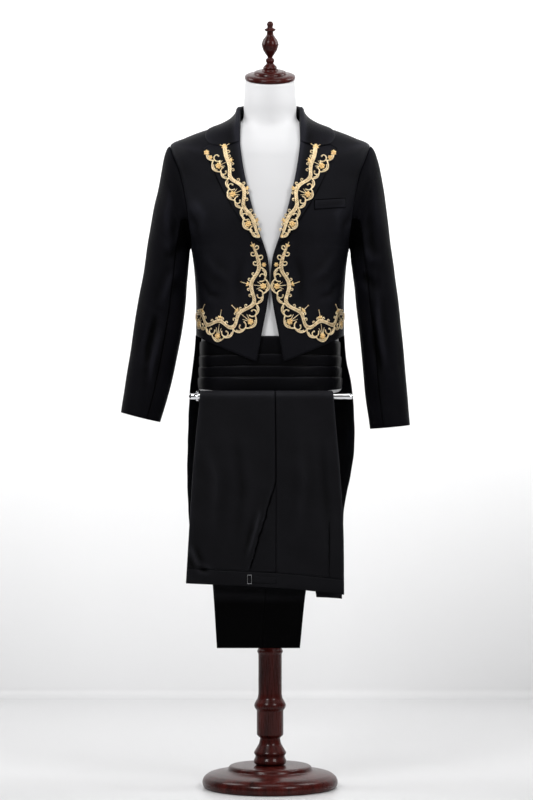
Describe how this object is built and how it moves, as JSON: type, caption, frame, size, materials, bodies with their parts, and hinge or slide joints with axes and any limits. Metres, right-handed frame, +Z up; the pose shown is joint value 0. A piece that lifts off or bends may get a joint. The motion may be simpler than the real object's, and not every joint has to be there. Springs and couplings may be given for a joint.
{
  "type": "peak lapel suit on a dress form",
  "caption": "Black evening tail suit with peak lapels and gold scroll applique on a limbless dress form, with the trousers folded over the form's bar.",
  "frame": {"origin": "centre of the round base, on the floor", "axes": "+Z up, -Y the way the front faces, +X the wearer's left"},
  "size_m": [0.6465, 0.306, 1.719],
  "materials": {
    "coat_wool": "soft black barathea wool",
    "trouser_wool": "smooth black worsted wool",
    "satin": "dull black satin",
    "gold_braid": "metallic gold braid and cord",
    "jersey": "matt white jersey",
    "mahogany": "dark mahogany with gloss lacquer",
    "chrome": "polished"
  },
  "bodies": {
    "root": {"applique_front_left": "gold_braid", "applique_front_right": "gold_braid", "applique_lapel_left": "gold_braid", "applique_lapel_right": "gold_braid", "back_left": "coat_wool", "back_right": "coat_wool", "bar_flange": "chrome", "breast_pocket": "satin", "collar": "coat_wool", "cummerbund": "satin", "cummerbund_strap": "satin", "finial": "mahogany", "form_base": "mahogany", "form_pole": "mahogany", "form_torso": "jersey", "front_left": "coat_wool", "front_right": "coat_wool", "lapel_left": "coat_wool", "lapel_right": "coat_wool", "neck_cap": "mahogany", "sleeve_top_left": "coat_wool", "sleeve_top_right": "coat_wool", "sleeve_under_left": "coat_wool", "sleeve_under_right": "coat_wool", "tail_left": "coat_wool", "tail_right": "coat_wool", "trouser_back_left": "trouser_wool", "trouser_back_right": "trouser_wool", "trouser_bar": "chrome", "trouser_fly": "trouser_wool", "trouser_front_left": "trouser_wool", "trouser_front_right": "trouser_wool", "trouser_inseam_layers": "trouser_wool", "trouser_pocket_facing_left": "trouser_wool", "trouser_pocket_facing_right": "trouser_wool", "waist_hook_left": "chrome", "waist_hook_right": "chrome", "waist_tab_left": "satin", "waist_tab_right": "satin", "waistband_left": "trouser_wool", "waistband_right": "trouser_wool"}
  },
  "joints": []
}
